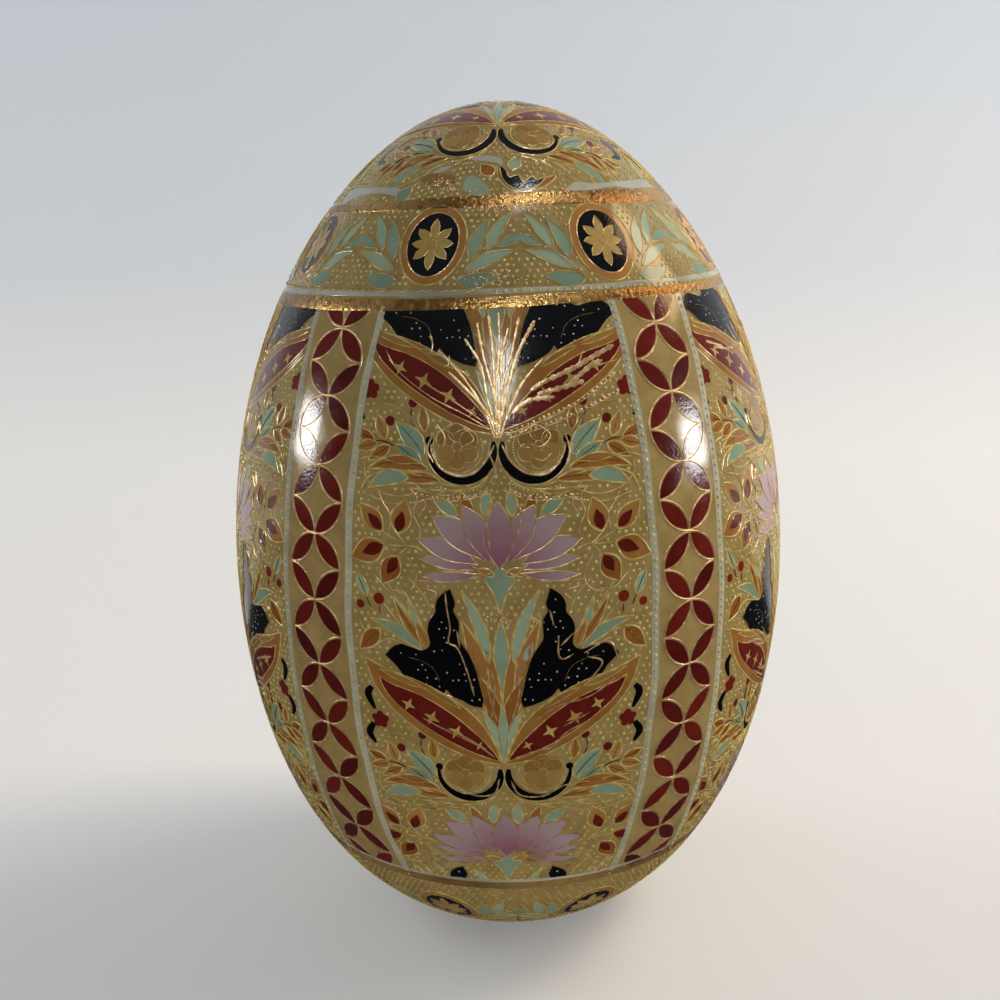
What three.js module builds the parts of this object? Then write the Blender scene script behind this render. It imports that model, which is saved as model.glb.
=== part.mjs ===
// A hand-painted porcelain egg: one closed porcelain body that stands on a small flat base.
// Millimetres, +Z up. The origin is the middle of the base, and the body is round about Z.
import * as THREE from 'three';

// Driving dimensions
const EGG_HEIGHT = 149;
const EGG_DIAMETER = 100;
const BASE_DIAMETER = 30;

// The outline is an ellipse turned about its long axis, with its width multiplied by
// 1 + TAPER u + FULLNESS u^2 + SHOULDER u^3, where u runs from -1 at the lower pole to +1 at the tip.
// The flat base cuts the lower pole off where the body is as wide as the base.
const TAPER = -0.057;
const FULLNESS = 0.031;
const SHOULDER = -0.069;

// Faces
const SIDES = 96;
const ROWS = 48;
const SEARCH_STEPS = 2000;

const PORCELAIN_COLOUR = 0xa98f58;
const GLAZE_ROUGHNESS = 0.15;

// Width of the outline as a share of its ellipse's half width, at an angle from the lower pole.
function outlineWidth(angle) {
  const u = -Math.cos(angle);
  return Math.sin(angle) * (1 + TAPER * u + FULLNESS * u ** 2 + SHOULDER * u ** 3);
}

// Largest value of the outline's width, found by walking from the lower pole to the tip.
function widestOutline() {
  let widest = 0;
  for (let step = 1; step < SEARCH_STEPS; step += 1) {
    widest = Math.max(widest, outlineWidth((Math.PI * step) / SEARCH_STEPS));
  }
  return widest;
}

// Angle from the lower pole at which the body is as wide as the base, found by halving.
function baseAngle(widthScale) {
  let low = 0;
  let high = Math.PI / 2;
  for (let step = 0; step < SEARCH_STEPS && high - low > Number.EPSILON; step += 1) {
    const middle = (low + high) / 2;
    if (widthScale * outlineWidth(middle) < BASE_DIAMETER / 2) low = middle;
    else high = middle;
  }
  return (low + high) / 2;
}

// Closed half section from the middle of the base, out and up the side, to the tip.
function eggProfile() {
  const widthScale = EGG_DIAMETER / 2 / widestOutline();
  const start = baseAngle(widthScale);
  const halfLength = EGG_HEIGHT / (1 + Math.cos(start));
  const middle = EGG_HEIGHT - halfLength;
  const points = [new THREE.Vector2(0, 0), new THREE.Vector2(BASE_DIAMETER / 2, 0)];
  for (let row = 1; row < ROWS; row += 1) {
    const angle = start + ((Math.PI - start) * row) / ROWS;
    points.push(new THREE.Vector2(widthScale * outlineWidth(angle), middle - halfLength * Math.cos(angle)));
  }
  points.push(new THREE.Vector2(0, EGG_HEIGHT));
  return points;
}

// A lathe turns its profile about Y, so the body is stood up on Z.
function porcelainEgg() {
  const geometry = new THREE.LatheGeometry(eggProfile(), SIDES);
  geometry.rotateX(Math.PI / 2);
  const material = new THREE.MeshStandardMaterial({
    color: PORCELAIN_COLOUR,
    roughness: GLAZE_ROUGHNESS,
    metalness: 0,
  });
  const mesh = new THREE.Mesh(geometry, material);
  mesh.name = 'porcelain_egg';
  return mesh;
}

const egg = new THREE.Group();
egg.add(porcelainEgg());

export default egg;
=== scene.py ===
import math
import random

import bpy
import numpy as np
from mathutils import Matrix, Vector
from mathutils.geometry import delaunay_2d_cdt
from mathutils.kdtree import KDTree


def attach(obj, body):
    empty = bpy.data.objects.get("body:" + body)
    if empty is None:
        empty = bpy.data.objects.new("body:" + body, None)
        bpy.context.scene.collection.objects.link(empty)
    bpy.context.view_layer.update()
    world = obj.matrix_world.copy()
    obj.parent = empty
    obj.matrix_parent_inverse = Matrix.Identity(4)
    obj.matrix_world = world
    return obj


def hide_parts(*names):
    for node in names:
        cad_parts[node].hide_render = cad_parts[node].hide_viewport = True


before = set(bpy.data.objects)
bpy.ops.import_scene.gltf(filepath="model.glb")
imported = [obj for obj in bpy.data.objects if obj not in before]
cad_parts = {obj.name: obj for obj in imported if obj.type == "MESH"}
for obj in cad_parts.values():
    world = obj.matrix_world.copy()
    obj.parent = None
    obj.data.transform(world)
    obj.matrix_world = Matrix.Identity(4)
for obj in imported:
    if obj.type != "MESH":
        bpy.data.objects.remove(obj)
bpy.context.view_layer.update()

MM = 0.001

# The egg's own outline, with the same numbers as the CAD body. Millimetres.
EGG_HEIGHT = 149.0
EGG_DIAMETER = 100.0
BASE_DIAMETER = 30.0
TAPER = -0.057
FULLNESS = 0.031
SHOULDER = -0.069
TABLE_STEPS = 4000


def egg_tables():
    """Radius, height and arc length from the uncut lower pole to the tip, and the outward normal."""
    angle = np.linspace(0, math.pi, TABLE_STEPS + 1)
    u = -np.cos(angle)
    radius = np.sin(angle) * (1 + TAPER * u + FULLNESS * u ** 2 + SHOULDER * u ** 3)
    radius *= EGG_DIAMETER / 2 / radius.max()
    lower = TABLE_STEPS // 4
    start = np.interp(BASE_DIAMETER / 2, radius[:lower], angle[:lower])
    height = EGG_HEIGHT - EGG_HEIGHT / (1 + math.cos(start)) * (1 + np.cos(angle))
    arc = np.concatenate([[0], np.cumsum(np.hypot(np.diff(radius), np.diff(height)))])
    return radius, height, arc, np.gradient(height, arc), -np.gradient(radius, arc)


RADIUS, HEIGHT, ARC, NORMAL_OUT, NORMAL_UP = egg_tables()
TIP_ARC = ARC[-1]
BASE_ARC = float(np.interp(0.0, HEIGHT, ARC))

# Where the gold rings lie, as arc lengths in millimetres from the lower pole.
TOP_RING = 165.3
SHOULDER_RING = 147.9
LOWER_RING = 47.9
FOOT_RING = 22.0

# The five panels, and the column of linked circles on each side of them.
PANELS = 5
HALF_PANEL = math.radians(180 / PANELS)
COLUMN_HALF = 6.9
EDGE_LINE = 1.3
EDGE_DOT_PITCH = 1.27
EDGE_DOT_RADIUS = 0.38
COIN_RADIUS = 5.35
COIN_PITCH = 10.78
MEDALLIONS = 8

# How high the paint stands off the glaze, and how far its edges go into it.
COAT_LIFT = 0.030
COAT_STEP = 0.010
SINK = -0.03
GILT_WIDTH = 0.38
GILT_HEIGHT = 0.15
BROAD_STROKE = 0.45

# The two sections of a raised line: places across it, heights, and how far its normals lean.
BROAD_SECTION = np.array([[-0.5, -0.36, 0.36, 0.5], [SINK, 0.9, 0.9, SINK], [-1.4, -0.2, 0.2, 1.4]])
NARROW_SECTION = np.array([[-0.5, 0.0, 0.5], [SINK, 1.0, SINK], [-1.1, 0.0, 1.1]])

# The small dots: rows as a share of the pitch, how far a dot strays, and the room that it needs.
DOT_PITCH = 1.18
BAND_DOT_PITCH = 1.12
DOT_ROWS = 0.87
DOT_STRAY = 0.12
DOT_CLEAR = 0.4
DOT_RADIUS = 0.30

# Distance between the points of an outline.
POINT_STEP = 0.4


def radius_at(arc):
    return np.interp(arc, ARC, RADIUS)


def on_side(meridian):
    """Places flat decoration upright on the egg's side: x runs along the parallel, y is the arc length."""
    def place(x, y):
        turn = math.radians(meridian) + x / radius_at(y)
        uv = np.stack([(turn + 1.4) / 8.1, 0.8 * y / TIP_ARC], 1)
        return turn, y, np.zeros_like(x), uv
    return place


def on_tip(turned):
    """Places flat decoration over the tip: the origin is the tip and -y points down towards the viewer."""
    def place(x, y):
        around = np.arctan2(x, -y)
        uv = np.stack([0.25 + turned / 360 + x / 360, 0.9 + y / 370], 1)
        return around + math.radians(turned), TIP_ARC - np.hypot(x, y), around, uv
    return place


class Piece:
    """One mesh in the making, all of one paint."""

    def __init__(self, name, material):
        self.name = name
        self.material = material
        self.parts = []
        self.count = 0

    def add(self, place, points, tilt, tone, faces):
        """points are x, y and lift. tilt leans the egg's normal in the flat plane."""
        x, y, lift = points.T
        turn, arc, spin, uv = place(x, y)
        out, up = np.interp(arc, ARC, NORMAL_OUT), np.interp(arc, ARC, NORMAL_UP)
        sine, cosine, zero = np.sin(turn), np.cos(turn), np.zeros_like(turn)
        normal = np.stack([out * sine, -out * cosine, up], 1)
        east = np.stack([cosine, sine, zero], 1)
        north = np.stack([-up * sine, up * cosine, out], 1)
        radius = radius_at(arc)
        spot = np.stack([radius * sine, -radius * cosine, np.interp(arc, ARC, HEIGHT)], 1)
        spot += normal * lift[:, None]
        to_east = tilt[:, 0] * np.cos(spin) + tilt[:, 1] * np.sin(spin)
        to_north = tilt[:, 1] * np.cos(spin) - tilt[:, 0] * np.sin(spin)
        normal = normal + east * to_east[:, None] + north * to_north[:, None]
        normal /= np.linalg.norm(normal, axis=1)[:, None]
        self.parts.append((spot * MM, normal, uv, tone, faces + self.count))
        self.count += len(points)

    def build(self):
        spots, normals, uvs, tones, faces = (np.concatenate(column) for column in zip(*self.parts))
        mesh = bpy.data.meshes.new(self.name)
        mesh.vertices.add(len(spots))
        mesh.vertices.foreach_set("co", spots.ravel())
        mesh.loops.add(faces.size)
        mesh.loops.foreach_set("vertex_index", faces.ravel())
        mesh.polygons.add(len(faces))
        mesh.polygons.foreach_set("loop_start", np.arange(0, faces.size, 3))
        mesh.update(calc_edges=True)
        layer = mesh.uv_layers.new(name="OFBake")
        layer.data.foreach_set("uv", uvs[faces.ravel()].ravel())
        tone = mesh.attributes.new("tone", "FLOAT", "POINT")
        tone.data.foreach_set("value", tones)
        mesh.normals_split_custom_set_from_vertices(normals)
        mesh.materials.append(self.material)
        thing = bpy.data.objects.new(self.name, mesh)
        bpy.context.scene.collection.objects.link(thing)
        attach(thing, "root")


# Flat outlines

def curve(points, closed=False, step=POINT_STEP):
    """Points about a step apart on a smooth curve through the given ones."""
    points = np.asarray(points, float)
    if closed:
        points = np.concatenate([points[-1:], points, points[:2]])
    else:
        points = np.concatenate([2 * points[:1] - points[1:2], points, 2 * points[-1:] - points[-2:-1]])
    found = []
    for a, b, c, d in zip(points, points[1:], points[2:], points[3:]):
        count = max(2, math.ceil(np.linalg.norm(c - b) / step))
        t = np.linspace(0, 1, count, endpoint=False)[:, None]
        found.append(0.5 * (2 * b + (c - a) * t + (2 * a - 5 * b + 4 * c - d) * t ** 2
                            + (3 * b - a - 3 * c + d) * t ** 3))
    if not closed:
        found.append(points[-2:-1])
    return np.concatenate(found)


def outline(*runs):
    """Closed outline of smooth curves that meet at sharp corners."""
    return np.concatenate([curve(run)[:-1] for run in runs])


def leaf_line(base, tip, bend, start, end, step, fewest):
    """Points on a leaf's bent middle line between two shares of its length, those shares, and the
    direction across it."""
    base, tip = np.array(base, float), np.array(tip, float)
    along = tip - base
    length = np.linalg.norm(along)
    across = np.array([-along[1], along[0]]) / length
    t = np.linspace(start, end, max(fewest, math.ceil(length / step)))[:, None]
    return base + along * t + across * bend * 4 * t * (1 - t), t, across


def leaf(base, tip, width, bend=0.0, fullness=0.8):
    """Pointed leaf from its base to its tip, widest nearer the base where fullness is below 1."""
    middle, t, across = leaf_line(base, tip, bend, 0, 1, 0.45, 7)
    half = width / 2 * np.sin(math.pi * t ** fullness)
    return np.concatenate([middle - across * half, (middle + across * half)[-2:0:-1]])


def leaf_rib(base, tip, bend):
    return leaf_line(base, tip, bend, 0.05, 0.85, 0.5, 5)[0]


def around(centre, wide, high, angle):
    """Points about a centre at the given angles. wide and high are numbers, or one for each angle."""
    return np.stack([centre[0] + wide * np.cos(angle), centre[1] + high * np.sin(angle)], 1)


def oval(centre, wide, high=None):
    high = wide if high is None else high
    count = max(10, math.ceil(math.pi * (wide + high) / POINT_STEP))
    return around(centre, wide, high, np.linspace(0, 2 * math.pi, count, endpoint=False))


def bow(centre, radius, start, end):
    """Points on a circle between two angles in degrees."""
    count = max(4, math.ceil(math.radians(abs(end - start)) * radius / POINT_STEP))
    return around(centre, radius, radius, np.radians(np.linspace(start, end, count)))


def star(centre, reach, turn, waist=0.34):
    """A star with four points, turned by an angle in degrees."""
    corner = np.arange(8)
    size = np.where(corner % 2 == 0, reach, reach * waist)
    return around(centre, size, size, np.radians(turn) + corner * math.pi / 4)


def blossom(centre, reach, petals):
    angle = np.linspace(0, 2 * math.pi, 8 * petals, endpoint=False)
    size = reach * (0.72 + 0.28 * np.abs(np.cos(angle * petals / 2)))
    return np.stack([centre[0] + size * np.sin(angle), centre[1] + size * np.cos(angle)], 1)


def ribbon(path, width):
    """Closed outline of a flat stroke along a path. width is a number, or one for each point."""
    path = np.asarray(path, float)
    along = np.gradient(path, axis=0)
    along /= np.linalg.norm(along, axis=1)[:, None]
    across = np.stack([-along[:, 1], along[:, 0]], 1) * np.reshape(width, (-1, 1)) / 2
    return np.concatenate([path - across, (path + across)[::-1]])


def mirrored(points):
    return points * np.array([-1.0, 1.0])


def inside(points, shape):
    """Which points lie inside a closed outline."""
    found = np.zeros(len(points), bool)
    near = np.all((points >= shape.min(0)) & (points <= shape.max(0)), axis=1)
    if near.any():
        x, y = points[near, 0:1], points[near, 1:2]
        (x0, y0), (x1, y1) = shape.T, np.roll(shape, -1, 0).T
        rise = np.where(y1 == y0, 1e-9, y1 - y0)
        hits = ((y0 > y) != (y1 > y)) & (x < (x1 - x0) * (y - y0) / rise + x0)
        found[near] = hits.sum(1) % 2 == 1
    return found


def clipped(shape, keep):
    """Part of a closed outline where keep(x, y) isn't negative."""
    level = keep(shape[:, 0], shape[:, 1])
    kept = []
    for index in range(len(shape)):
        a, b, level_a, level_b = shape[index - 1], shape[index], level[index - 1], level[index]
        if (level_a < 0) != (level_b < 0):
            kept.append(a + (b - a) * level_a / (level_a - level_b))
        if level_b >= 0:
            kept.append(b)
    return np.array(kept)


def filled(shape, grain=1.1):
    """Points and triangles that fill a closed outline, with inner points so that they follow the egg."""
    low, high = shape.min(0), shape.max(0)
    x, y = np.meshgrid(*(np.arange(low[axis] + grain / 2, high[axis], grain) for axis in (0, 1)))
    inner = np.stack([x.ravel(), y.ravel()], 1)
    inner = inner[inside(inner, shape)]
    if len(inner):
        far = np.linalg.norm(inner[:, None] - shape[None], axis=2).min(1) > 0.3
        inner = inner[far]
    points = [Vector(point) for point in np.concatenate([shape, inner])]
    edges = [(index, (index + 1) % len(shape)) for index in range(len(shape))]
    found = delaunay_2d_cdt(points, edges, [], 1, 1e-4)
    spots = np.array([tuple(point) for point in found[0]]).reshape(-1, 2)
    faces = np.array([face for face in found[2] if len(face) == 3]).reshape(-1, 3)
    a, b, c = (spots[faces[:, corner]] for corner in range(3))
    area = (b[:, 0] - a[:, 0]) * (c[:, 1] - a[:, 1]) - (b[:, 1] - a[:, 1]) * (c[:, 0] - a[:, 0])
    faces[area < 0] = faces[area < 0][:, ::-1]
    return spots, faces[np.abs(area) > 1e-7]


def rim_edges(faces):
    """Edges that only one triangle uses, in that triangle's direction."""
    edges = np.concatenate([faces[:, [0, 1]], faces[:, [1, 2]], faces[:, [2, 0]]])
    known = {tuple(edge) for edge in edges.tolist()}
    return np.array([edge for edge in edges.tolist() if (edge[1], edge[0]) not in known])


class Sheet:
    """Flat decoration in millimetres, in painting order: what comes later hides what it covers."""

    def __init__(self):
        self.fills = []
        self.lines = []
        self.dots = []
        self.order = 0

    def fill(self, paint, shape, tone=None, rim="trace", width=GILT_WIDTH, both=True):
        """A filled outline, with a raised line round it in the rim's paint. tone is a number, or a
        centre and a reach for a colour that changes away from the centre."""
        shape = np.asarray(shape, float)
        if tone is None:
            tone = 0.5 + 0.5 * math.sin(7.1 * len(self.fills) + shape[0, 0])
        for side in (1, -1) if both else (1,):
            points = shape if side == 1 else mirrored(shape)
            given = tone
            if isinstance(tone, tuple):
                given = (np.array([tone[0][0] * side, tone[0][1]]), tone[1])
            self.order += 1
            self.fills.append((self.order, paint, points, given))
            if rim:
                loop = np.concatenate([points, points[:1]])
                self.lines.append((self.order, rim, loop, width, GILT_HEIGHT))

    def line(self, path, width=GILT_WIDTH, paint="trace", both=True, height=GILT_HEIGHT, smooth=True):
        self.order += 1
        path = curve(path) if smooth else np.asarray(path, float)
        self.lines.append((self.order, paint, path, width, height))
        if both:
            self.lines.append((self.order, paint, mirrored(path), width, height))

    def lines_alike(self, paths, width, paint="trace"):
        for path in paths:
            self.line(path, width, paint)

    def dot(self, spots, radius, paint, both=False):
        self.order += 1
        spots = np.atleast_2d(np.asarray(spots, float))
        if both:
            spots = np.concatenate([spots, mirrored(spots)])
        self.dots.append((self.order, paint, spots, radius))

    def add(self, other, rise=0.0):
        """Adds another sheet, moved up by rise."""
        move = np.array([0.0, rise])
        for order, paint, shape, tone in other.fills:
            if isinstance(tone, tuple):
                tone = (tone[0] + move, tone[1])
            self.fills.append((order + self.order, paint, shape + move, tone))
        for order, paint, path, width, height in other.lines:
            self.lines.append((order + self.order, paint, path + move, width, height))
        for order, paint, spots, radius in other.dots:
            self.dots.append((order + self.order, paint, spots + move, radius))
        self.order += other.order

    def cut(self, keep):
        """Drops what lies where keep(x, y) is negative."""
        fills = [(order, paint, clipped(shape, keep), tone) for order, paint, shape, tone in self.fills]
        self.fills = [fill for fill in fills if len(fill[2]) > 2 and np.ptp(fill[2], axis=0).min() > 0.05]
        self.only(lambda points, order: keep(points[:, 0], points[:, 1]) >= 0)

    def hide(self):
        """Drops lines and dots where paint that comes later covers them."""
        def seen(points, order):
            mask = np.ones(len(points), bool)
            for later, _, shape, _ in self.fills:
                if later > order:
                    mask &= ~inside(points, shape)
            return mask
        self.only(seen)

    def only(self, wanted):
        """Keeps the stretches of the lines, and the dots, that wanted(points, order) picks."""
        lines = []
        for order, paint, path, width, height in self.lines:
            mask = np.concatenate([[False], wanted(path, order), [False]])
            turns = np.flatnonzero(mask[1:] != mask[:-1])
            for start, end in zip(turns[::2], turns[1::2]):
                if end - start > 1:
                    lines.append((order, paint, path[start:end], width, height))
        self.lines = lines
        self.dots = [(order, paint, spots[wanted(spots, order)], radius)
                     for order, paint, spots, radius in self.dots]

    def levels(self):
        """How many coats of paint each fill lies on."""
        found = []
        for index, (_, _, shape, _) in enumerate(self.fills):
            level = 0
            for earlier in range(index):
                if found[earlier] < level:
                    continue
                other = self.fills[earlier][2]
                apart = np.any(shape.min(0) > other.max(0)) or np.any(other.min(0) > shape.max(0))
                if not apart and (inside(shape, other).any() or inside(other, shape).any()):
                    level = found[earlier] + 1
            found.append(level)
        return found

    def sprinkle(self, low, high, keep, pitch=DOT_PITCH, paint="dots", seed=1):
        """Rows of small raised dots wherever the ground is bare."""
        chance = random.Random(seed)
        spots = []
        for row in range(int((high[1] - low[1]) / (pitch * DOT_ROWS))):
            for column in range(int((high[0] - low[0]) / pitch)):
                x = low[0] + (column + 0.5 * (row % 2)) * pitch + chance.uniform(-DOT_STRAY, DOT_STRAY)
                y = low[1] + row * pitch * DOT_ROWS + chance.uniform(-DOT_STRAY, DOT_STRAY)
                spots.append((x, y))
        spots = np.array(spots)
        bare = keep(spots[:, 0], spots[:, 1]) > 0.3
        for _, _, shape, _ in self.fills:
            bare &= ~inside(spots, shape)
        spots = spots[bare]
        marks = [path for _, _, path, _, _ in self.lines] + [shape for _, _, shape, _ in self.fills]
        marks += [taken for _, _, taken, _ in self.dots]
        marks = np.concatenate(marks)
        tree = KDTree(len(marks))
        for index, (x, y) in enumerate(marks):
            tree.insert((x, y, 0), index)
        tree.balance()
        far = [tree.find((x, y, 0))[2] > DOT_CLEAR for x, y in spots]
        self.dots.append((self.order, paint, spots[np.array(far, bool)], DOT_RADIUS))

    def flat_parts(self):
        """The sheet as triangles for each paint: points, tilt, tone and faces."""
        parts = []
        for (_, paint, shape, tone), level in zip(self.fills, self.levels()):
            parts.append((paint, *coat(shape, COAT_LIFT + COAT_STEP * level, tone)))
        for _, paint, path, width, height in self.lines:
            parts.append((paint, *ridge(path, width, height)))
        for _, paint, spots, radius in self.dots:
            if len(spots):
                parts.append((paint, *domes(spots, radius)))
        return parts


def coat(shape, lift, tone):
    """A flat coat of paint with its edges sunk into the glaze."""
    spots, faces = filled(shape)
    rim = rim_edges(faces)
    count = len(spots)
    if len(rim):
        sides = np.concatenate([rim[:, [1, 0]], rim[:, :1] + count], 1)
        more = np.stack([rim[:, 0] + count, rim[:, 1] + count, rim[:, 1]], 1)
        faces = np.concatenate([faces, sides, more])
    points = np.concatenate([np.column_stack([spots, np.full(count, lift)]),
                             np.column_stack([spots, np.full(count, SINK)])])
    if isinstance(tone, tuple):
        tones = np.linalg.norm(points[:, :2] - tone[0], axis=1) / tone[1]
    else:
        tones = np.full(len(points), tone)
    return points, np.zeros((len(points), 2)), tones, faces


def strip_faces(rows, section):
    """Triangles between neighbouring rows of points."""
    first = (np.arange(rows - 1)[:, None] * section + np.arange(section - 1)[None]).ravel()
    beyond = first + section
    return np.concatenate([np.stack([first, first + 1, beyond + 1], 1),
                           np.stack([first, beyond + 1, beyond], 1)])


def ridge(path, width, height):
    """A raised line with a rounded section, thinner at its ends."""
    along = np.gradient(path, axis=0)
    along /= np.maximum(np.linalg.norm(along, axis=1), 1e-9)[:, None]
    across = np.stack([along[:, 1], -along[:, 0]], 1)
    count = len(path)
    ends = np.minimum(np.arange(count), np.arange(count)[::-1])
    closed = np.linalg.norm(path[0] - path[-1]) < 0.01
    slim = np.ones(count) if closed else np.minimum(1.0, 0.55 + 0.25 * ends)
    seed = path[:, 0] * 2.3 + path[:, 1] * 3.1
    broad = width > BROAD_STROKE
    uneven = 1.6 if broad else 1.0
    slim = slim * (1 + uneven * (0.13 * np.sin(seed * 1.7) + 0.08 * np.sin(seed * 4.1)))
    offsets, lifts, lean = BROAD_SECTION if broad else NARROW_SECTION
    section = len(offsets)
    spots = path[:, None] + across[:, None] * (offsets[None, :, None] * width * slim[:, None, None])
    lift = np.where(lifts > 0, lifts * height * slim[:, None], SINK)
    points = np.concatenate([spots, lift[:, :, None]], 2).reshape(-1, 3)
    tilt = (across[:, None] * lean[None, :, None]).reshape(-1, 2)
    tone = np.repeat(0.5 + 0.5 * np.sin(seed * 0.9), section)
    return points, tilt, tone, strip_faces(count, section)


def domes(spots, radius):
    """Small round raised dots, six-sided."""
    angle = np.arange(6) * math.pi / 3
    ring = np.stack([np.cos(angle), np.sin(angle)], 1)
    flat = np.concatenate([[[0, 0]], ring * 0.62, ring])
    lift = np.concatenate([[0.60], np.full(6, 0.46), [0] * 6]) * radius
    lift[7:] = SINK
    lean = np.concatenate([[[0, 0]], ring * 0.7, ring * 1.7])
    size = 1 + 0.14 * np.sin(spots[:, 0] * 5.3 + spots[:, 1] * 8.7)
    count = len(flat)
    points = np.concatenate([spots[:, None] + flat[None] * radius * size[:, None, None],
                             np.broadcast_to(lift[None, :, None], (len(spots), count, 1))], 2).reshape(-1, 3)
    one = [(0, 1 + k, 1 + (k + 1) % 6) for k in range(6)]
    one += [(1 + k, 7 + k, 7 + (k + 1) % 6) for k in range(6)]
    one += [(1 + k, 7 + (k + 1) % 6, 1 + (k + 1) % 6) for k in range(6)]
    faces = (np.array(one)[None] + count * np.arange(len(spots))[:, None, None]).reshape(-1, 3)
    tone = np.repeat(0.5 + 0.5 * np.sin(spots[:, 0] * 3.1 + spots[:, 1]), count)
    return points, np.tile(lean, (len(spots), 1)), tone, faces


# Materials

def node(tree, kind, **sockets):
    made = tree.nodes.new(kind)
    for name, value in sockets.items():
        made.inputs[name.replace("_", " ")].default_value = value
    return made


def speckle(tree, scale, detail=3.0):
    where = tree.nodes.new("ShaderNodeTexCoord")
    noise = node(tree, "ShaderNodeTexNoise", Scale=scale, Detail=detail, Roughness=0.55)
    tree.links.new(where.outputs["Object"], noise.inputs["Vector"])
    return noise


def ramp(tree, source, stops):
    made = tree.nodes.new("ShaderNodeValToRGB")
    elements = made.color_ramp.elements
    while len(elements) < len(stops):
        elements.new(0.5)
    for element, (position, colour) in zip(elements, stops):
        element.position = position
        element.color = (*colour, 1)
    tree.links.new(source, made.inputs["Fac"])
    return made


def height_of(tree, coordinate):
    """The height of a place, as the named coordinate has it."""
    where = tree.nodes.new("ShaderNodeTexCoord")
    parts = tree.nodes.new("ShaderNodeSeparateXYZ")
    tree.links.new(where.outputs[coordinate], parts.inputs["Vector"])
    return parts.outputs["Z"]


def math_node(tree, operation, first, second):
    made = tree.nodes.new("ShaderNodeMath")
    made.operation = operation
    for index, value in enumerate((first, second)):
        if isinstance(value, float):
            made.inputs[index].default_value = value
        else:
            tree.links.new(value, made.inputs[index])
    return made.outputs[0]


def colour(code):
    """Linear colour from a screen colour such as a8905a."""
    values = [int(code[index:index + 2], 16) / 255 for index in (0, 2, 4)]
    return tuple(value / 12.92 if value < 0.04 else ((value + 0.055) / 1.055) ** 2.4 for value in values)


def paint_material(name, dark, light, gloss=(0.08, 0.17), metal=0.0, relief=0.000024, patch=260.0,
                   grain=2200.0, tone_share=0.45, speck=None, bump=0.35, shine=0.42):
    """Glazed enamel or gilding: cloudy colour, fine grain, and a slightly uneven gloss. speck is the
    colour of its specks, and the share of the grain's height from which they show."""
    material = bpy.data.materials.new(name)
    material.use_nodes = True
    tree = material.node_tree
    shader = tree.nodes["Principled BSDF"]
    cloud = speckle(tree, patch, 4.0)
    tone = tree.nodes.new("ShaderNodeAttribute")
    tone.attribute_name = "tone"
    share = math_node(tree, "MULTIPLY", tone.outputs["Fac"], tone_share)
    rest = math_node(tree, "MULTIPLY", cloud.outputs["Fac"], 1.0 - tone_share)
    mixed = math_node(tree, "ADD", share, rest)
    tint = ramp(tree, mixed, [(0.25, colour(dark)), (0.75, colour(light))]).outputs["Color"]
    fine = speckle(tree, grain, 2.0)
    if speck:
        spots = ramp(tree, fine.outputs["Fac"], [(speck[1], (0, 0, 0)), (speck[1] + 0.08, (1, 1, 1))])
        mix = tree.nodes.new("ShaderNodeMix")
        mix.data_type = "RGBA"
        tree.links.new(spots.outputs["Color"], mix.inputs["Factor"])
        tree.links.new(tint, mix.inputs["A"])
        mix.inputs["B"].default_value = (*colour(speck[0]), 1)
        tint = mix.outputs["Result"]
    tree.links.new(tint, shader.inputs["Base Color"])
    rough = node(tree, "ShaderNodeMapRange", From_Min=0.3, From_Max=0.7, To_Min=gloss[0], To_Max=gloss[1])
    tree.links.new(cloud.outputs["Fac"], rough.inputs["Value"])
    tree.links.new(rough.outputs["Result"], shader.inputs["Roughness"])
    raised = node(tree, "ShaderNodeBump", Strength=bump, Distance=relief)
    tree.links.new(fine.outputs["Fac"], raised.inputs["Height"])
    tree.links.new(raised.outputs["Normal"], shader.inputs["Normal"])
    shader.inputs["Metallic"].default_value = metal
    shader.inputs["Specular IOR Level"].default_value = shine
    return material


MATERIALS = {
    "ground": paint_material("tan_glaze", "957d49", "b0975f", tone_share=0.0, speck=("76602f", 0.68)),
    "white": paint_material("white_glaze", "999888", "bdbba9"),
    "maroon": paint_material("maroon_enamel", "480c08", "6f1b10", relief=0.00006, bump=0.5),
    "red": paint_material("red_enamel", "5c150b", "7e2611", relief=0.00006, bump=0.5),
    "black": paint_material("black_enamel", "020203", "090a0d", shine=0.3, relief=0.00005, bump=0.5),
    "teal": paint_material("teal_enamel", "7c947b", "a1b496"),
    "ochre": paint_material("ochre_enamel", "925820", "b48446"),
    "brown": paint_material("brown_enamel", "8f6c33", "ab884c"),
    "lotus": paint_material("lotus_enamel", "96616f", "ad9697", tone_share=0.8),
    "straw": paint_material("straw_enamel", "af914a", "cdb26a"),
    "trace": paint_material("outline_gilt", "c2a552", "e6cf86", gloss=(0.12, 0.22), metal=0.1),
    "dots": paint_material("yellow_dots", "bda955", "dacb80", gloss=(0.15, 0.25)),
    "pale": paint_material("pale_dots", "9a9588", "c6c1b2"),
    "gold": paint_material("gilding", "cc9c60", "f0cf9e", gloss=(0.20, 0.38), metal=0.5,
                           relief=0.00008, grain=3200.0, bump=0.7),
    "worn": paint_material("worn_gilding", "7d5f30", "a9864c", gloss=(0.2, 0.4), metal=0.15,
                           relief=0.00012, grain=1700.0, bump=0.6),
    "ring": paint_material("ring_gilding", "8a6230", "d0a262", gloss=(0.18, 0.40), metal=0.85,
                           relief=0.00022, grain=1500.0, patch=700.0, bump=0.9),
}
PIECES = {paint: Piece(f"enamel_{paint}", material)
          for paint, material in MATERIALS.items() if paint != "ground"}


def lay(sheet, *places):
    """Puts a finished sheet on the egg at each of the places."""
    for paint, points, tilt, tone, faces in sheet.flat_parts():
        for place in places:
            PIECES[paint].add(place, points, tilt, tone, faces)


# The flower unit: lotus, birds, winged leaves and curls about one crossing point at the origin

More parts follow.
